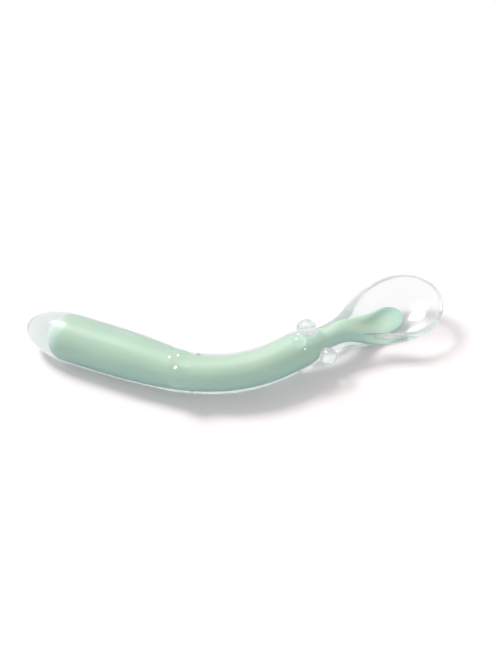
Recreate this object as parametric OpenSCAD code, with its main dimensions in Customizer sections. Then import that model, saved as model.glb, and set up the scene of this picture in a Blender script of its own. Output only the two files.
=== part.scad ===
// Soft baby spoon: a stiffer coloured core inside one clear silicone moulding.
// The handle is bent sideways and lies on the table, and the bowl opens upward.
// X runs from the butt to the bowl tip, Y to the outside of the bowl, Z is up.

/* [Handle] */
// Radius of the clear skin at the thick butt end
butt_radius = 8.75; // [8:0.05:9.5]
// Length of the rounded butt cap
butt_cap = 18; // [14:0.5:22]
// Length of the thick stretch that follows the cap
butt_hold = 16; // [8:0.5:20]
// Length of the taper from the thick to the slim stretch
taper_length = 36; // [28:0.5:44]
// Radius of the clear skin along the slim stretch
grip_radius = 6.95; // [6.4:0.05:7.6]
// Thickness of the clear cap behind the core
cap_skin = 9.5; // [7:0.25:10.5]
// Length of the rounding at the rear end of the core
core_end = 6; // [4:0.25:7]
// Radius of the core in the thick stretch
core_butt_radius = 5.9; // [4.5:0.05:7]
// Radius of the core along the slim stretch
core_grip_radius = 4.5; // [3.5:0.05:5.4]
// Radius of the core in the neck
core_neck_radius = 2.7; // [2:0.05:3.2]

/* [Bends] */
// Length of the straight stretch from the butt to the bend
butt_run = 53; // [44:0.5:60]
// Radius of the sideways bend, at the axis
bend_radius = 42; // [34:0.5:60]
// Angle of the sideways bend
bend_angle = 56; // [30:1:62]
// Length of the straight stretch after the bend
neck_run = 36; // [28:0.5:44]
// Radius of the return bend in the neck and bowl
return_radius = 45; // [38:0.5:60]
// Angle of the return bend
return_angle = 23; // [10:1:34]

/* [Neck] */
// Length of the shoulder that narrows into the neck
shoulder_length = 11; // [8:0.5:14]
// Radius of the clear skin at the neck
neck_radius = 4.6; // [4:0.05:5.2]
// Depth of the clear skin under the spine at the neck
neck_depth = 7.2; // [6:0.1:7.6]
// Straight length of the neck between the shoulder and the bowl
neck_length = 2; // [1:0.25:5]
// Height of the spine where the neck bumps rest on the table
neck_lift = 10.1; // [9.8:0.05:10.4]

/* [Bowl] */
// Length from the neck to the widest place of the bowl
bowl_back = 29.5; // [24:0.5:32]
// Length from the widest place to the tip
bowl_front = 14; // [13:0.25:18]
// Half of the bowl's outer width
bowl_half_width = 12.8; // [11:0.1:14]
// Depth of the bowl outside, from the rim down
bowl_depth = 11.3; // [10:0.1:11.6]
// Length from the neck to the deepest place of the belly
heel_length = 15; // [12:0.5:18]
// Thickness of the clear wall at the rim
rim_wall = 1.1; // [0.9:0.05:1.6]
// Length over which the hollow and the tongue open out of the neck
hollow_run = 22; // [18:0.5:24]
// Thickness of the clear floor over and under the tongue
floor_skin = 0.8; // [0.6:0.05:1]
// Height that the rim gains over the neck
rim_rise = 2.7; // [1.5:0.1:4]
// Sideways tilt of the bowl
bowl_roll = 12; // [0:1:16]

/* [Core tongue] */
// Half of the tongue's width on the bowl floor
tongue_half_width = 5.5; // [4.6:0.1:6]
// Half of the tongue's thickness
tongue_half_thick = 0.9; // [0.7:0.05:1.1]
// Distance of the tongue's tip from the bowl's tip
tongue_setback = 13.6; // [11:0.1:16]
// Length of the rounded end of the tongue
tongue_nose = 6.5; // [5:0.25:9]
// Height that the tongue's edges curl up
tongue_cup = 0.45; // [0.2:0.05:0.6]

/* [Bumps] */
// Height of the tallest bumps in the ring before the neck
neck_bump_height = 3.4; // [2.8:0.1:3.6]
// Radius of those bumps
neck_bump_radius = 3.65; // [3.4:0.05:4]
// Height of a bump in the ring at the bend
bend_bump_height = 2.45; // [1.8:0.05:2.5]
// Radius of those bumps
bend_bump_radius = 4.3; // [3.6:0.05:4.6]
// Distance from the butt to the ring at the bend
bend_ring_at = 59.5; // [56:0.5:66]
// Distance from the butt to the ring before the neck
neck_ring_at = 106; // [101:0.5:107]
// Step between staggered bumps, along the handle
bump_stagger = 2.2; // [0:0.1:2.6]

/* [Hidden] */
mint = [0.62, 0.85, 0.73];
clear = [0.88, 0.95, 0.93, 0.45];
// The straight butt stretch is turned so that X runs from the butt to the tip
lay_angle = -24;
// Bumps round the handle, as degrees from the top towards the inside of the bend
neck_bump_angles = [-17, 17, 57, 94, 195, 245];
neck_bump_shift_shares = [0.45, -2.2, -1.6, 1.95, -0.5, 0.3];
neck_bump_height_shares = [1, 0.65, 0.65, 1, 1, 1];
neck_bump_radius_shares = [1, 0.72, 0.72, 0.82, 1, 1];
bend_bump_angles = [8, 57, 190, 245];
// Bond line between the core and the silicone moulded over it
bond = 0.05;
// Fullness of the bowl outside and of its hollow: 2 is an ellipse
belly_power = 3;
hollow_power = 2.1;
tip_power = 2.1;
// How early the bowl swells out of the neck: less is earlier
swell_power = 0.92;
// Share of the rim wall that its rounding takes, down and across
rim_round_share = 0.45;
// Part of a section's turn that draws the rim, in degrees
rim_arc = 32;
// Share of the narrow tip that its rim may take
rim_band_share = 0.6;
outer_sides = 36;
core_sides = 26;
bump_sides = 24;
// Steps between the rings of each stretch
cap_steps = 8;
grip_steps = 26;
shoulder_steps = 5;
bowl_steps = 16;
tip_steps = 9;
nose_steps = 6;
core_grip_steps = 24;
// Share of a step that is left between the last ring and a round end
last_step_share = 0.4;

// Ends of the stretches, measured along the spine from the butt
bend_from = butt_run;
bend_to = bend_from + arc_length(bend_radius, bend_angle);
return_from = bend_to + neck_run;
return_to = return_from + arc_length(return_radius, return_angle);
shoulder_to = neck_ring_at + bump_stagger + shoulder_length / 2;
shoulder_from = shoulder_to - shoulder_length;
bowl_from = shoulder_to + neck_length;
bowl_wide = bowl_from + bowl_back;
bowl_to = bowl_wide + bowl_front;
tongue_to = bowl_to - tongue_setback;
core_from = cap_skin;
heel_at = bowl_from + heel_length;
// Drop of the rim's rounding from its crest
edge = rim_round_share * rim_wall;

function arc_length(radius, angle) = radius * angle * PI / 180;
function arc_angle(radius, length) = length / radius * 180 / PI;
function ease(t) = t <= 0 ? 0 : t >= 1 ? 1 : t * t * (3 - 2 * t);
function between(a, b, t) = a + (b - a) * t;
function limited(v, low, high) = max(low, min(high, v));
// Height of a round end at a share t of its length
function round_end(t) = sqrt(max(0, 1 - (1 - t) * (1 - t)));

// Spine: straight, bend, straight, return bend, straight
function heading(s) =
    lay_angle
    + arc_angle(bend_radius, limited(s, bend_from, bend_to) - bend_from)
    - arc_angle(return_radius, limited(s, return_from, return_to) - return_from);
function along(length, angle) = length * [cos(angle), sin(angle)];
function turned(radius, a, b) = radius * [sin(b) - sin(a), cos(a) - cos(b)];
function plan(s) =
    along(min(s, bend_from), lay_angle)
    + turned(bend_radius, lay_angle, heading(limited(s, bend_from, bend_to)))
    + along(limited(s, bend_to, return_from) - bend_to, lay_angle + bend_angle)
    + turned(-return_radius, lay_angle + bend_angle,
             lay_angle + bend_angle
             - arc_angle(return_radius, limited(s, return_from, return_to) - return_from))
    + along(max(s, return_to) - return_to, lay_angle + bend_angle - return_angle);
function lift(s) =
    butt_radius
    + (min(s, bowl_from) - butt_cap) * (neck_lift - butt_radius) / (neck_ring_at - butt_cap)
    + rim_rise * ease((s - shoulder_to) / bowl_back);
function spine(s) = [plan(s).x, plan(s).y, lift(s)];
function roll(s) = bowl_roll * ease((s - shoulder_from) / bowl_back);
function across(s) = [
    -sin(heading(s)) * cos(roll(s)),
    cos(heading(s)) * cos(roll(s)),
    sin(roll(s))
];
function upward(s) = [
    sin(heading(s)) * sin(roll(s)),
    -cos(heading(s)) * sin(roll(s)),
    cos(roll(s))
];
function placed(s, p) = spine(s) + across(s) * p.x + upward(s) * p.y;

function taper(thick, slim, s) =
    between(thick, slim, ease((s - butt_cap - butt_hold) / taper_length));
function shoulder_share(s) = ease((s - shoulder_from) / shoulder_length);

// Radius of the clear skin from the butt to the neck, and its depth under the spine
function skin_radius(s) =
    s < butt_cap ? butt_radius * round_end(s / butt_cap)
    : between(taper(butt_radius, grip_radius, s), neck_radius, shoulder_share(s));
function skin_depth(s) =
    s < butt_cap ? skin_radius(s)
    : between(taper(butt_radius, grip_radius, s), neck_depth, shoulder_share(s));

// Bowl sizes along the spine
function bowl_share(s) = pow(ease((s - bowl_from) / bowl_back), swell_power);
function hollow_share(s) = ease((s - bowl_from) / hollow_run);
function front_share(s) =
    s <= bowl_wide ? 1 : full((s - bowl_wide) / bowl_front, tip_power);
function half_width(s) =
    s < bowl_wide ? between(neck_radius, bowl_half_width, bowl_share(s))
    : bowl_half_width * front_share(s);
function belly(s) =
    s < heel_at ? between(neck_depth, bowl_depth, ease((s - bowl_from) / heel_length))
    : edge + (bowl_depth - edge) * full((s - heel_at) / (bowl_to - heel_at), 2);
function tongue_level(s) = -(belly(s) - floor_skin - tongue_half_thick);
function hollow_depth(s) = max(edge, belly(s) - 2 * floor_skin - 2 * tongue_half_thick);
function hollow_half_width(s) =
    (half_width(min(s, bowl_wide)) - rim_wall)
    * full(max(0, s - bowl_wide) / (bowl_front - rim_wall), tip_power);

// Fullness curve: a quarter of a superellipse, from edge to middle
function full(t, power) = pow(max(0, 1 - pow(abs(t), power)), 1 / power);

function reach(a, b) = pow(pow(abs(a), tip_power) + pow(abs(b), tip_power), 1 / tip_power);

// Height of the bowl's upper side: a rounded rim, then the hollow inside it
function upper_height(s, y) =
    let (
        w = half_width(min(s, bowl_wide)),
        front = max(0, s - bowl_wide),
        outer = reach(y / w, front / bowl_front),
        inner_w = hollow_half_width(s),
        inset = (1 - outer) * between(w, bowl_front, front / bowl_front)
    )
    abs(y) < inner_w ? -edge - (hollow_depth(s) - edge) * full(y / inner_w, hollow_power)
    : -edge + edge * full(2 * limited(inset / rim_wall, 0, 1) - 1, 2);

// Section of the bowl: belly below, rounded rim and hollow above
function bowl_point(s, angle) =
    let (
        w = half_width(s),
        rim = min(rim_wall, w * rim_band_share),
        c = cos(angle),
        side = c < 0 ? -1 : 1,
        y = abs(c) > cos(rim_arc) ? side * (w - rim * acos(abs(c)) / rim_arc)
            : (w - rim) * c / cos(rim_arc)
    )
    sin(angle) < 0 ? [w * c, -edge - (belly(s) - edge) * full(c, belly_power)]
    : [y, upper_height(s, y)];

function round_point(radius, angle) = radius * [cos(angle), sin(angle)];
function keel_point(w, height, depth, angle) =
    [w * cos(angle), (sin(angle) < 0 ? depth : height) * sin(angle)];
function outer_point(s, angle) =
    s < bowl_from ? keel_point(skin_radius(s), skin_radius(s), skin_depth(s), angle)
    : between(keel_point(half_width(s), neck_radius, belly(s), angle), bowl_point(s, angle),
              sin(angle) < 0 ? bowl_share(s) : hollow_share(s));

// Core: a round bar under the skin, then a thin tongue on the bowl floor
function core_round(s) =
    between(taper(core_butt_radius, core_grip_radius, s), core_neck_radius, shoulder_share(s))
    * round_end(limited((s - core_from) / core_end, 0, 1));
function tongue_end(s) = round_end(limited((tongue_to - s) / tongue_nose, 0, 1));
function tongue_point(s, angle) =
    let (w = tongue_half_width * tongue_end(s), c = cos(angle))
    [
        w * c,
        tongue_level(s) + tongue_half_thick * tongue_end(s) * sin(angle)
        + tongue_cup * c * c * tongue_end(s)
    ];
function core_point(s, angle) =
    s < bowl_from ? round_point(core_round(s), angle)
    : between(round_point(core_neck_radius, angle), tongue_point(s, angle), hollow_share(s));

// Rings of points, shrunk or grown by a gap
function outer_ring(s) = [
    for (i = [0 : outer_sides - 1]) placed(s, outer_point(s, 360 * (i + 0.5) / outer_sides))
];
function core_ring(s, gap) = [
    for (i = [0 : core_sides - 1])
        let (angle = 360 * (i + 0.5) / core_sides)
        placed(s, core_point(s, angle) + gap * [cos(angle), sin(angle)])
];

// Places of the rings along the spine, closer where the shape turns faster
function steps(from, to, count) = [for (i = [1 : count]) between(from, to, i / count)];
function closing(from, to, count) = [
    for (i = [1 : count]) from + (to - from) * sin(90 * i / (count + last_step_share))
];
function opening(from, to, count) = [
    for (i = [1 : count]) to - (to - from) * cos(90 * i / count)
];
outer_places = concat(
    opening(0, butt_cap, cap_steps),
    steps(butt_cap, shoulder_from, grip_steps),
    steps(shoulder_from, shoulder_to, shoulder_steps),
    steps(shoulder_to, bowl_from, 1),
    steps(bowl_from, bowl_wide, bowl_steps),
    closing(bowl_wide, bowl_to, tip_steps)
);
core_places = concat(
    opening(core_from, core_from + core_end, nose_steps),
    steps(core_from + core_end, shoulder_from, core_grip_steps),
    steps(shoulder_from, shoulder_to, shoulder_steps),
    steps(shoulder_to, bowl_from, 1),
    steps(bowl_from, tongue_to - tongue_nose, bowl_steps),
    closing(tongue_to - tongue_nose, tongue_to, nose_steps)
);

// Solid through rings of equal size, closed by a point at each end
module loft(rings, first, last) {
    n = len(rings[0]);
    count = len(rings);
    points = concat([first], [for (r = rings) each r], [last]);
    sides = [
        for (k = [0 : count - 2], i = [0 : n - 1])
            let (
                a = 1 + k * n + i,
                b = 1 + k * n + (i + 1) % n,
                c = a + n,
                d = b + n
            )
            each [[a, d, b], [a, c, d]]
    ];
    starts = [for (i = [0 : n - 1]) [0, 1 + i, 1 + (i + 1) % n]];
    tail = 1 + (count - 1) * n;
    ends = [for (i = [0 : n - 1]) [count * n + 1, tail + (i + 1) % n, tail + i]];
    polyhedron(points = points, faces = concat(starts, sides, ends), convexity = 8);
}

outer_rings = [for (s = outer_places) outer_ring(s)];
butt_point = placed(0, [0, 0]);
tip_point = placed(bowl_to, [0, -edge]);

function bump_place(s, angle, height, radius) =
    placed(s, (skin_radius(min(s, shoulder_from)) + height - radius) * [-sin(angle), cos(angle)]);
neck_bump_radii = [for (share = neck_bump_radius_shares) neck_bump_radius * share];
neck_bumps = [
    for (i = [0 : len(neck_bump_angles) - 1])
        bump_place(neck_ring_at + bump_stagger * neck_bump_shift_shares[i], neck_bump_angles[i],
                   neck_bump_height * neck_bump_height_shares[i], neck_bump_radii[i])
];
bend_bumps = [
    for (angle = bend_bump_angles)
        bump_place(bend_ring_at, angle, bend_bump_height, bend_bump_radius)
];

// The whole spoon is set down with its box centred on the origin
shape_points = concat([for (r = outer_rings) each r], [butt_point, tip_point]);
low_x = min([for (p = shape_points) p.x]);
high_x = max([for (p = shape_points) p.x]);
low_y = min(concat([for (p = shape_points) p.y], [for (p = bend_bumps) p.y - bend_bump_radius]));
high_y = max([for (p = shape_points) p.y]);
low_z = min(concat(
    [for (p = shape_points) p.z],
    [for (i = [0 : len(neck_bumps) - 1]) neck_bumps[i].z - neck_bump_radii[i]],
    [for (p = bend_bumps) p.z - bend_bump_radius]
));
set_down = -[(low_x + high_x) / 2, (low_y + high_y) / 2, low_z];

module core_form(gap) {
    loft(
        [for (s = core_places) core_ring(s, gap)],
        placed(core_from - gap, [0, 0]),
        placed(tongue_to + gap, [0, tongue_level(tongue_to)])
    );
}

module core() {
    color(mint)
        translate(set_down)
            core_form(0);
}

module silicone_overmould() {
    color(clear)
        translate(set_down)
            difference() {
                union() {
                    loft(outer_rings, butt_point, tip_point);
                    for (i = [0 : len(neck_bumps) - 1])
                        translate(neck_bumps[i]) sphere(r = neck_bump_radii[i], $fn = bump_sides);
                    for (p = bend_bumps)
                        translate(p) sphere(r = bend_bump_radius, $fn = bump_sides);
                }
                core_form(bond);
            }
}

core();
silicone_overmould();
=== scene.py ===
from math import acos, copysign, cos, pi, radians, sin, sqrt

import bpy
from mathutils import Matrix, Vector


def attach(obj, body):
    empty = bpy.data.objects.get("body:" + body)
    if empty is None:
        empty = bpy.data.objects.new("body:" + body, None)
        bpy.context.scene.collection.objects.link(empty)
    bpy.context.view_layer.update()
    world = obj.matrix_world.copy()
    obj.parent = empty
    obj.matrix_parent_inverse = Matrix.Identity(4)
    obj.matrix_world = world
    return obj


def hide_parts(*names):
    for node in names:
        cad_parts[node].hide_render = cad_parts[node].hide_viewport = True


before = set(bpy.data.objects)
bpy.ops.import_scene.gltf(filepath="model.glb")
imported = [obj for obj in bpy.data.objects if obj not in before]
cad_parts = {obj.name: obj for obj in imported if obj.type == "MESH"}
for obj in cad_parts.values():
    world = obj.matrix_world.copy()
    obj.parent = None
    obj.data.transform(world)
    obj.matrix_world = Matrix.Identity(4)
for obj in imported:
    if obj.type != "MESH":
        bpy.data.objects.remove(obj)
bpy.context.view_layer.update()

# Table and studio. The spoon lies on a white table in an even white room. One broad, soft lamp
# to the upper left lights it, and the camera looks along +Y, 45 degrees down.
MM = 0.001
white = (1, 1, 1, 1)


def set_sockets(tree, node, sockets):
    """Give each socket its value, or join it to the output that is given in its place."""
    for name, value in sockets.items():
        if isinstance(value, bpy.types.NodeSocket):
            tree.links.new(value, node.inputs[name])
        else:
            node.inputs[name].default_value = value


def add_node(tree, kind, choices, sockets):
    """Add a shader node, with its choices made and its sockets set."""
    new = tree.nodes.new("ShaderNode" + kind)
    for name, value in choices.items():
        setattr(new, name, value)
    set_sockets(tree, new, sockets)
    return new


def calculate(tree, operation, *values, clamped=False):
    """Result of a Math node on these values. A clamped one stays within 0 and 1."""
    choices = {"operation": operation, "use_clamp": clamped}
    return add_node(tree, "Math", choices, dict(enumerate(values))).outputs[0]


def either(tree, first, second):
    """The larger of two masks, so 1 where either of them is 1."""
    return calculate(tree, "MAXIMUM", first, second)


def ray_kinds(tree):
    """What kind of ray meets the surface, and how many turns it has made."""
    return add_node(tree, "LightPath", {}, {}).outputs


def seen_rays(tree):
    """1 on rays that carry a view: the camera's own, and those mirrored or bent by the skin."""
    ray = ray_kinds(tree)
    by_skin = either(tree, ray["Is Glossy Ray"], ray["Is Transmission Ray"])
    return either(tree, ray["Is Camera Ray"], by_skin)


def mix_colour(tree, share, first, second):
    """Colour that goes from the first to the second as the share goes from 0 to 1."""
    return add_node(tree, "Mix", {"data_type": "RGBA"}, {
        "Factor": share, "A": first, "B": second,
    }).outputs["Result"]


def new_material(name):
    material = bpy.data.materials.new(name)
    material.use_nodes = True
    return material, material.node_tree


def add_object(name, data):
    new = bpy.data.objects.new(name, data)
    bpy.context.collection.objects.link(new)
    return new


# The room looks white, and lights the spoon with less than that. It is even all round, so that
# no samples need to be aimed at it
room_light = 0.57
seen_light = 1.0

room = bpy.data.worlds.new("room")
bpy.context.scene.world = room
room.use_nodes = True
room.cycles.sampling_method = "NONE"
tree = room.node_tree
lit = tree.nodes["Background"]
set_sockets(tree, lit, {"Color": white, "Strength": room_light})
seen = add_node(tree, "Background", {}, {"Color": white, "Strength": seen_light})
room_mix = add_node(tree, "MixShader", {}, {
    0: seen_rays(tree), 1: lit.outputs[0], 2: seen.outputs[0],
})
set_sockets(tree, tree.nodes["World Output"], {"Surface": room_mix.outputs[0]})

# The key lamp gives the light, and the shine lamp nothing but the glare on smooth surfaces
key_light = 2.0
key_colour = (1.0, 0.985, 0.95)
key_spread = radians(20)
key_from = Vector((-0.63, 0.42, 1.0))
shine_light = 6.0
shine_spread = radians(13)
shine_from = Vector((-0.44, 0.45, 0.78))


def add_lamp(name, strength, spread, way):
    """Far lamp that stands that way from the spoon, and looks as wide as its spread."""
    lamp = add_object(name, bpy.data.lights.new(name, "SUN"))
    lamp.data.energy = strength
    lamp.data.angle = spread
    lamp.rotation_euler = way.to_track_quat("Z", "Y").to_euler()
    return lamp


key_lamp = add_lamp("key_lamp", key_light, key_spread, key_from)
key_lamp.data.color = key_colour
key_lamp.visible_glossy = False
shine_lamp = add_lamp("shine_lamp", shine_light, shine_spread, shine_from)
shine_lamp.visible_diffuse = False
shine_lamp.visible_transmission = False
shine_lamp.visible_volume_scatter = False

# The table is seen as all but white. What it throws back at the spoon is dimmer and cooler
table_half = 3.0
table_white = (1.0, 0.955, 0.972, 1)
table_bounce = (0.66, 0.78, 0.9, 1)
table_corners = ((-1, -1), (1, -1), (1, 1), (-1, 1))

table_mesh = bpy.data.meshes.new("table")
table_mesh.from_pydata(
    [(x * table_half, y * table_half, 0) for x, y in table_corners], [], [(0, 1, 2, 3)]
)
table = add_object("table", table_mesh)
table_paint, tree = new_material("table_paint")
set_sockets(tree, tree.nodes["Principled BSDF"], {
    "Base Color": mix_colour(tree, seen_rays(tree), table_bounce, table_white),
    "Roughness": 1,
    "Specular IOR Level": 0,
})
table_mesh.materials.append(table_paint)

# The lens is long, so that the far end of the spoon looks about as large as the near one
view_height = 235.5 * MM
view_centre = Vector((4.4, 11.9, 0)) * MM
view_down = radians(45)
lens = 200.0
sensor = 36.0

camera_data = bpy.data.cameras.new("camera")
camera_data.lens = lens
camera_data.sensor_width = sensor
camera = add_object("camera", camera_data)
camera_away = view_height * lens / sensor
camera.location = view_centre + camera_away * Vector((0, -cos(view_down), sin(view_down)))
camera.rotation_euler = (pi / 2 - view_down, 0, 0)
bpy.context.scene.camera = camera
bpy.context.scene.view_settings.view_transform = "Standard"

# Light turns many times inside thick silicone before it leaves it
most_turns = 32
light_paths = bpy.context.scene.cycles
light_paths.max_bounces = most_turns
light_paths.transmission_bounces = most_turns
light_paths.glossy_bounces = most_turns
light_paths.transparent_max_bounces = most_turns

# Core. One stiff mint-green moulding: a round bar through the handle that thins out in the
# neck and ends as a flat, round-ended tongue in the floor of the bowl. The silicone is
# moulded over it, so both follow one bent line, and the sizes along it are millimetres.
butt_cap = 18.0
butt_hold = 16.0
taper_from = butt_cap + butt_hold
taper_length = 36.0
bend_from = 53.0
bend_radius = 42.0
bend_angle = 56.0
neck_run = 36.0
return_radius = 45.0
return_angle = 23.0
lay_angle = -24.0
# The line's start goes here, so that the whole spoon lies centred on the table
set_down = Vector((-72.909, 6.613, 0.299))

# Where the shoulder, the neck and the bowl lie along the line
neck_ring_at = 106.0
bump_stagger = 2.2
shoulder_length = 11.0
shoulder_to = neck_ring_at + bump_stagger + shoulder_length / 2
shoulder_from = shoulder_to - shoulder_length
neck_length = 2.0
bowl_from = shoulder_to + neck_length
bowl_back = 29.5
bowl_front = 14.0
bowl_wide = bowl_from + bowl_back
bowl_to = bowl_wide + bowl_front
heel_length = 15.0
heel_at = bowl_from + heel_length

# What the line and the tongue take from the skin's shape
butt_radius = 8.75
neck_lift = 10.1
neck_depth = 7.2
bowl_depth = 11.3
bowl_roll = 12.0
hollow_run = 22.0
rim_wall = 1.1
rim_rise = 2.7
rim_round_share = 0.45
rim_drop = rim_round_share * rim_wall
floor_skin = 0.8

# The core's own sizes
core_from = 9.5
core_end = 6.0
core_butt_radius = 5.9
core_grip_radius = 4.5
core_neck_radius = 2.7
tongue_setback = 13.6
tongue_to = bowl_to - tongue_setback
tongue_nose = 6.5
tongue_half_width = 5.5
tongue_half_thick = 0.9
tongue_cup = 0.45


def limited(v, low, high):
    return max(low, min(high, v))


def ease(t):
    """Share that starts and stops softly."""
    t = limited(t, 0, 1)
    return t * t * (3 - 2 * t)


def between(a, b, t):
    return a + (b - a) * t


def full(t, power):
    """Height of a rounded profile at a share of its half width.

    Power 2 is an ellipse, and a larger one is fuller.
    """
    return max(0.0, 1 - abs(t) ** power) ** (1 / power)


def round_end(t):
    """Height of a round end at a share of its length."""
    return full(1 - limited(t, 0, 1), 2)


# The bent line: s is the distance along it from the butt
bend_to = bend_from + bend_radius * radians(bend_angle)
return_from = bend_to + neck_run
return_to = return_from + return_radius * radians(return_angle)


def heading(s):
    """Way that the line points at s, turned from +X."""
    left = (limited(s, bend_from, bend_to) - bend_from) / bend_radius
    right = (limited(s, return_from, return_to) - return_from) / return_radius
    return radians(lay_angle) + left - right


def along(length, angle):
    return Vector((cos(angle), sin(angle), 0)) * length


def turned(radius, start, stop):
    return Vector((sin(stop) - sin(start), cos(start) - cos(stop), 0)) * radius


def plan(s):
    """The line at s as seen from above: butt, bend, neck, return bend and bowl."""
    butt_turn = radians(lay_angle)
    neck_turn = radians(lay_angle + bend_angle)
    bowl_turn = neck_turn - radians(return_angle)
    return (
        along(min(s, bend_from), butt_turn)
        + turned(bend_radius, butt_turn, heading(limited(s, bend_from, bend_to)))
        + along(limited(s, bend_to, return_from) - bend_to, neck_turn)
        + turned(-return_radius, neck_turn, heading(max(s, return_from)))
        + along(max(s, return_to) - return_to, bowl_turn)
    )


def lift(s):
    """Height of the line: it climbs along the handle, and again with the rim."""
    return (
        butt_radius
        + (min(s, bowl_from) - butt_cap) * (neck_lift - butt_radius) / (neck_ring_at - butt_cap)
        + rim_rise * ease((s - shoulder_to) / bowl_back)
    )


def placed(s, across, upward):
    """Point of the section at s, given across and upward from the line."""
    turn, roll = heading(s), radians(bowl_roll) * ease((s - shoulder_from) / bowl_back)
    side = Vector((-sin(turn) * cos(roll), cos(turn) * cos(roll), sin(roll)))
    up = Vector((sin(turn) * sin(roll), -cos(turn) * sin(roll), cos(roll)))
    return set_down + plan(s) + Vector((0, 0, lift(s))) + side * across + up * upward


def taper(thick, slim, s):
    return between(thick, slim, ease((s - taper_from) / taper_length))


def shoulder_share(s):
    return ease((s - shoulder_from) / shoulder_length)


def hollow_share(s):
    return ease((s - bowl_from) / hollow_run)


def belly(s):
    """Depth of the skin's underside below the line, from the neck to the tip."""
    if s < heel_at:
        return between(neck_depth, bowl_depth, ease((s - bowl_from) / heel_length))
    return rim_drop + (bowl_depth - rim_drop) * full((s - heel_at) / (bowl_to - heel_at), 2)


def tongue_level(s):
    return floor_skin + tongue_half_thick - belly(s)


def core_point(s, angle):
    """Point of the core: a round bar, which turns into the flat tongue with curled-up edges."""
    side, up = cos(angle), sin(angle)
    if s < bowl_from:
        bar = taper(core_butt_radius, core_grip_radius, s)
        radius = between(bar, core_neck_radius, shoulder_share(s))
        radius *= round_end((s - core_from) / core_end)
        return placed(s, radius * side, radius * up)
    end = round_end((tongue_to - s) / tongue_nose)
    tongue = Vector((
        tongue_half_width * end * side,
        tongue_level(s) + tongue_half_thick * end * up + tongue_cup * side * side * end,
    ))
    return placed(s, *between(Vector((side, up)) * core_neck_radius, tongue, hollow_share(s)))


# Places of the rings of points: evenly spaced, or closer together towards a round end
last_step_share = 0.3


def even(start, stop, step):
    count = round((stop - start) / step)
    return [between(start, stop, (i + 1) / count) for i in range(count)]


def opening(start, stop, count):
    return [stop - (stop - start) * cos(pi / 2 * (i + 1) / count) for i in range(count)]


def closing(start, stop, count):
    """The share of a step is left between the last ring and the end."""
    last = count + last_step_share
    return [between(start, stop, sin(pi / 2 * (i + 1) / last)) for i in range(count)]


def make_rings(point, places, sides, shift):
    """Rings of points, the first of each moved round by a share of a step."""
    return [[point(s, 2 * pi * (i + shift) / sides) for i in range(sides)] for s in places]


def loft(name, rings, first, last):
    """Closed smooth skin through rings of equal size, with a point at each end."""
    mesh = bpy.data.meshes.new(name)
    sides, count = len(rings[0]), len(rings)
    points = [first] + [p for ring in rings for p in ring] + [last]
    faces = [(0, 1 + (i + 1) % sides, 1 + i) for i in range(sides)]
    for k in range(count - 1):
        a, b = 1 + k * sides, 1 + (k + 1) * sides
        faces += [
            (a + i, a + (i + 1) % sides, b + (i + 1) % sides, b + i) for i in range(sides)
        ]
    tail = 1 + (count - 1) * sides
    end = count * sides + 1
    faces += [(end, tail + i, tail + (i + 1) % sides) for i in range(sides)]
    mesh.from_pydata([p * MM for p in points], [], faces)
    mesh.polygons.foreach_set("use_smooth", [True] * len(mesh.polygons))
    mesh.update()
    return mesh


core_sides = 72
core_end_rings = 24
bar_step = 0.8
tongue_step = 0.7
tongue_end_rings = 20
core_places = (
    opening(core_from, core_from + core_end, core_end_rings)
    + even(core_from + core_end, bowl_from, bar_step)
    + even(bowl_from, tongue_to - tongue_nose, tongue_step)
    + closing(tongue_to - tongue_nose, tongue_to, tongue_end_rings)
)
core_mesh = loft(
    "core_moulding",
    make_rings(core_point, core_places, core_sides, shift=0),
    placed(core_from, 0, 0),
    placed(tongue_to, 0, tongue_level(tongue_to)),
)
core = add_object("core_moulding", core_mesh)
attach(core, "root")
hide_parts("core")

# Both mouldings carry the mark of the mould: a fine grain, and slow waves where the melt flowed
grain_detail = 2
wave_detail = 1
noise_low = 0.3
noise_high = 0.7

moulded = bpy.data.node_groups.new("moulded_surface", "ShaderNodeTree")
for name, way in (
    ("Grain Size", "INPUT"), ("Wave Size", "INPUT"), ("Grain", "OUTPUT"), ("Waves", "OUTPUT"),
):
    moulded.interface.new_socket(name, in_out=way, socket_type="NodeSocketFloat")
given = moulded.nodes.new("NodeGroupInput").outputs
place = add_node(moulded, "TexCoord", {}, {}).outputs["Object"]
group_output = moulded.nodes.new("NodeGroupOutput")
for size, result, detail in (
    ("Grain Size", "Grain", grain_detail), ("Wave Size", "Waves", wave_detail),
):
    noise = add_node(moulded, "TexNoise", {}, {
        "Vector": place, "Scale": calculate(moulded, "DIVIDE", 1, given[size]), "Detail": detail,
    })
    set_sockets(moulded, group_output, {result: noise.outputs[0]})


def moulded_surface(tree, grain_size, wave_size):
    """The group's Grain and Waves, at these sizes."""
    return add_node(tree, "Group", {"node_tree": moulded}, {
        "Grain Size": grain_size, "Wave Size": wave_size,
    }).outputs


def noise_range(tree, noise, low, high):
    """The noise's usual range, stretched to run from low to high."""
    return add_node(tree, "MapRange", {}, {
        "Value": noise, "From Min": noise_low, "From Max": noise_high,
        "To Min": low, "To Max": high,
    }).outputs[0]


def rise(tree, value, start, stop):
    """0 up to start, 1 from stop on, and a soft rise between."""
    return add_node(tree, "MapRange", {"interpolation_type": "SMOOTHSTEP"}, {
        "Value": value, "From Min": start, "From Max": stop,
    }).outputs[0]


def relief(tree, height, depth):
    """Normals of a surface that the height raises by up to the depth."""
    return add_node(tree, "Bump", {}, {"Distance": depth, "Height": height}).outputs[0]


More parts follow.
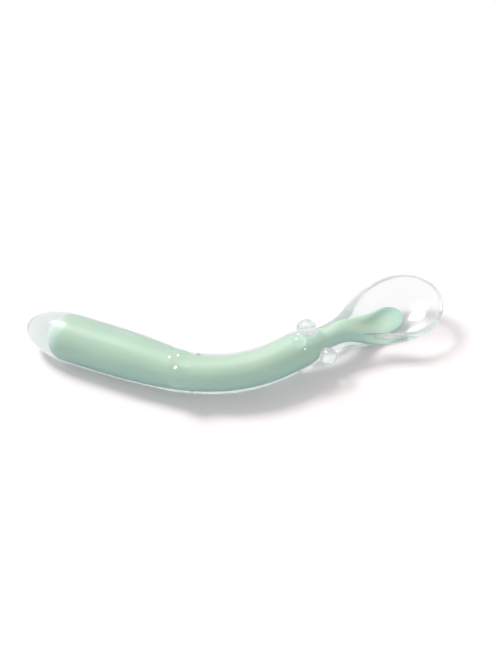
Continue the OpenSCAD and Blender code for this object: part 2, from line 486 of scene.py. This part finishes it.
# The green comes a little paler and darker in waves. At the core's rear end it fades into a
# painted haze: pale colour that stands in for light the silicone scatters over that end.
# Light that enters the plastic glows out of it again a little way off
core_green = (0.54, 0.705, 0.567, 1)
core_green_thin = (0.575, 0.735, 0.588, 1)
# Painted haze: the pale colour painted over the core's rear end, and where it starts and is whole
painted_haze_white = (0.86, 0.90, 0.86, 1)
painted_haze_from = -0.5 * MM
painted_haze_to = 5.0 * MM
core_grain = 0.22 * MM
core_wave = 14.0 * MM
core_grain_depth = 0.012 * MM
satin_low = 0.42
satin_high = 0.56
glow_weight = 0.85
glow_reach = (0.25, 0.9, 1.25)
glow_depth = 2.5 * MM
butt_way = along(1, radians(lay_angle))
core_end_at = (set_down + plan(core_from)).dot(butt_way) * MM

mint_plastic, tree = new_material("mint_plastic")
marks = moulded_surface(tree, core_grain, core_wave)
down_butt = add_node(tree, "VectorMath", {"operation": "DOT_PRODUCT"}, {
    0: add_node(tree, "TexCoord", {}, {}).outputs["Object"], 1: butt_way,
}).outputs["Value"]
# Painted haze: 0 at the core's rear end, where the pale painted haze is whole, and 1 a few
# millimetres on, where the green is clear of it
beyond_painted_haze = rise(tree, down_butt, core_end_at + painted_haze_from, core_end_at + painted_haze_to)
green = mix_colour(tree, noise_range(tree, marks["Waves"], 0, 1), core_green, core_green_thin)
set_sockets(tree, tree.nodes["Principled BSDF"], {
    "Base Color": mix_colour(tree, beyond_painted_haze, painted_haze_white, green),
    "Roughness": noise_range(tree, marks["Grain"], satin_low, satin_high),
    "Normal": relief(tree, marks["Grain"], core_grain_depth),
    "Subsurface Weight": glow_weight,
    "Subsurface Radius": glow_reach,
    "Subsurface Scale": glow_depth,
})
core_mesh.materials.append(mint_plastic)

# Silicone overmould. One clear, soft moulding shot round the core: the handle's skin and its
# round cap, two rings of bumps that a small hand can feel, and the whole bowl with its rim.
grip_radius = 6.95
neck_radius = 4.6
bowl_half_width = 12.8
belly_power = 3.0
hollow_power = 2.1
tip_power = 2.1
swell_power = 0.92

# The part of a section's turn that draws the rim, and how much of the narrow tip it may take
rim_arc = radians(32)
rim_band_share = 0.6


def skin_radius(s):
    if s < butt_cap:
        return butt_radius * round_end(s / butt_cap)
    return between(taper(butt_radius, grip_radius, s), neck_radius, shoulder_share(s))


def skin_depth(s):
    if s < butt_cap:
        return skin_radius(s)
    return between(taper(butt_radius, grip_radius, s), neck_depth, shoulder_share(s))


def bowl_share(s):
    """How far the bowl has swollen out of the neck. A smaller power swells it earlier."""
    return ease((s - bowl_from) / bowl_back) ** swell_power


def half_width(s):
    if s < bowl_wide:
        return between(neck_radius, bowl_half_width, bowl_share(s))
    return bowl_half_width * full((s - bowl_wide) / bowl_front, tip_power)


def hollow_depth(s):
    return max(rim_drop, belly(s) - 2 * floor_skin - 2 * tongue_half_thick)


def upper_height(s, y):
    """Height of the bowl's upper side: a rounded rim, and the hollow inside it."""
    half, front = half_width(min(s, bowl_wide)), max(0.0, s - bowl_wide)
    outer = (abs(y / half) ** tip_power + (front / bowl_front) ** tip_power) ** (1 / tip_power)
    inner = (half - rim_wall) * full(limited(front / (bowl_front - rim_wall), 0, 1), tip_power)
    inset = (1 - outer) * between(half, bowl_front, front / bowl_front)
    if abs(y) < inner:
        return -rim_drop - (hollow_depth(s) - rim_drop) * full(y / inner, hollow_power)
    return -rim_drop + rim_drop * full(2 * limited(inset / rim_wall, 0, 1) - 1, 2)


def bowl_point(s, angle):
    """Point of the bowl's section: the belly below, the rim and the hollow above."""
    half = half_width(s)
    rim = min(rim_wall, half * rim_band_share)
    side = cos(angle)
    if sin(angle) < 0:
        return Vector((half * side, -rim_drop - (belly(s) - rim_drop) * full(side, belly_power)))
    if abs(side) > cos(rim_arc):
        y = copysign(half - rim * acos(limited(abs(side), 0, 1)) / rim_arc, side)
    else:
        y = (half - rim) * side / cos(rim_arc)
    return Vector((y, upper_height(s, y)))


def keel_point(half, height, depth, angle):
    """Point of a round section that is deeper below than above."""
    return Vector((half * cos(angle), (depth if sin(angle) < 0 else height) * sin(angle)))


def skin_point(s, angle):
    """Point of the skin: the handle's round section, which opens out into the bowl."""
    if s < bowl_from:
        return placed(s, *keel_point(skin_radius(s), skin_radius(s), skin_depth(s), angle))
    keel = keel_point(half_width(s), neck_radius, belly(s), angle)
    opened = bowl_share(s) if sin(angle) < 0 else hollow_share(s)
    return placed(s, *between(keel, bowl_point(s, angle), opened))


# Each bump of the ring before the neck has its angle from the top, its shift in staggers, and
# its shares of the full height and radius. Those of the ring at the bend differ by angle only
neck_bump_height = 3.4
neck_bump_radius = 3.65
neck_bumps = (
    (-17, 0.45, 1, 1), (17, -2.2, 0.65, 0.72), (57, -1.6, 0.65, 0.72),
    (94, 1.95, 1, 0.82), (195, -0.5, 1, 1), (245, 0.3, 1, 1),
)
bend_ring_at = 59.5
bend_bump_height = 2.45
bend_bump_radius = 4.3
bend_bump_angles = (8, 57, 190, 245)

# Each bump is pushed out from a point this deep under the skin
bump_root = 3.0
bump_fillet = 0.9
fillet_lift = bump_fillet / 4
bumps = [
    (neck_ring_at + bump_stagger * shift, angle, neck_bump_height * tall, neck_bump_radius * wide)
    for angle, shift, tall, wide in neck_bumps
] + [(bend_ring_at, angle, bend_bump_height, bend_bump_radius) for angle in bend_bump_angles]


def raise_bump(points, s, angle, height, radius):
    """Push the skin out into a dome, with a small fillet round its foot."""
    out = Vector((-sin(radians(angle)), cos(radians(angle))))
    skin = skin_radius(min(s, shoulder_from))
    root = placed(s, *(out * (skin - bump_root)))
    centre = placed(s, *(out * (skin + height - radius)))
    lean = centre - root
    for p in points:
        way = p - root
        reach = way.length
        if reach > bump_root + 2 * radius or way.dot(lean) < 0:
            continue
        way /= reach
        run = way.dot(lean)
        dome = run + sqrt(max(0.0, run * run - lean.length_squared + radius * radius))
        near = max(0.0, 1 - abs(dome - reach) / bump_fillet)
        p[:] = root + way * (max(dome, reach) + fillet_lift * near * near)


# The rings of points lie closest round the bumps and at both ends
skin_sides = 144
cap_rings = 40
butt_step = 0.8
grip_step = 0.6
bump_step = 0.25
bend_ring_reach = 8
neck_ring_reach = 10
bowl_step = 0.4
tip_rings = 60
skin_places = (
    opening(0, butt_cap, cap_rings)
    + even(butt_cap, bend_ring_at - bend_ring_reach, butt_step)
    + even(bend_ring_at - bend_ring_reach, bend_ring_at + bend_ring_reach, bump_step)
    + even(bend_ring_at + bend_ring_reach, neck_ring_at - neck_ring_reach, grip_step)
    + even(neck_ring_at - neck_ring_reach, neck_ring_at + neck_ring_reach, bump_step)
    + even(neck_ring_at + neck_ring_reach, bowl_wide, bowl_step)
    + closing(bowl_wide, bowl_to, tip_rings)
)
skin_rings = make_rings(skin_point, skin_places, skin_sides, shift=0.5)
skin_points = [p for ring in skin_rings for p in ring]
for bump in bumps:
    raise_bump(skin_points, *bump)
skin_mesh = loft(
    "silicone_skin", skin_rings, placed(0, 0, 0), placed(bowl_to, 0, -rim_drop)
)
skin = add_object("silicone_skin", skin_mesh)
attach(skin, "root")
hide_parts("silicone_overmould")

clear_tint = (0.98, 0.992, 0.99, 1)
silicone_ior = 1.37
polish_low = 0.08
polish_high = 0.12
skin_grain = 0.5 * MM
skin_wave = 7.0 * MM
skin_wave_depth = 0.015 * MM
edge_shade = (0, 0, 0, 1)
edge_from = 0.08
edge_to = 0.42
straight_on = 0.45
haze_tint = (0.98, 1, 1, 1)
haze_density = 14.0
haze_forward = 0.3
teal_tint = (0.1, 0.7, 0.65, 1)
teal_density = 14.0

clear_silicone, tree = new_material("clear_silicone")
marks = moulded_surface(tree, skin_grain, skin_wave)
glass = tree.nodes["Principled BSDF"]
set_sockets(tree, glass, {
    "Base Color": clear_tint,
    "Roughness": noise_range(tree, marks["Grain"], polish_low, polish_high),
    "IOR": silicone_ior,
    "Normal": relief(tree, marks["Waves"], skin_wave_depth),
    "Transmission Weight": 1,
})

# Lamps reach the core and the table by a straight path through the skin. Where that path enters
# the skin at a slant it is shaded, which draws the grey rim of the shadow
ray = ray_kinds(tree)
slant = add_node(tree, "LayerWeight", {}, {}).outputs["Facing"]
leaving = add_node(tree, "NewGeometry", {}, {}).outputs["Backfacing"]
entering = calculate(tree, "SUBTRACT", ray["Is Shadow Ray"], leaving)
shaded = calculate(tree, "MULTIPLY", rise(tree, slant, edge_from, edge_to), entering, clamped=True)
straight = add_node(tree, "BsdfTransparent", {}, {
    "Color": mix_colour(tree, shaded, white, edge_shade),
})

# After its first surface, more of the light goes straight on at each turn. Full bending of the
# white room in so thick a skin would draw dark wedges in it
late = calculate(tree, "MULTIPLY", ray["Ray Depth"], straight_on, clamped=True)
passing = either(tree, ray["Is Shadow Ray"], ray["Is Diffuse Ray"])
surface = add_node(tree, "MixShader", {}, {
    0: either(tree, passing, late), 1: glass.outputs[0], 2: straight.outputs[0],
})

# A thin haze and a faint teal fill the silicone. The teal spares the straight paths of light,
# so that the shadow stays grey
haze = add_node(tree, "VolumeScatter", {}, {
    "Color": haze_tint, "Density": haze_density, "Anisotropy": haze_forward,
})
teal = add_node(tree, "VolumeAbsorption", {}, {
    "Color": teal_tint,
    "Density": calculate(tree, "MULTIPLY_ADD", passing, -teal_density, teal_density),
})
inside = add_node(tree, "AddShader", {}, {0: haze.outputs[0], 1: teal.outputs[0]})
set_sockets(tree, tree.nodes["Material Output"], {
    "Surface": surface.outputs[0], "Volume": inside.outputs[0],
})
skin_mesh.materials.append(clear_silicone)
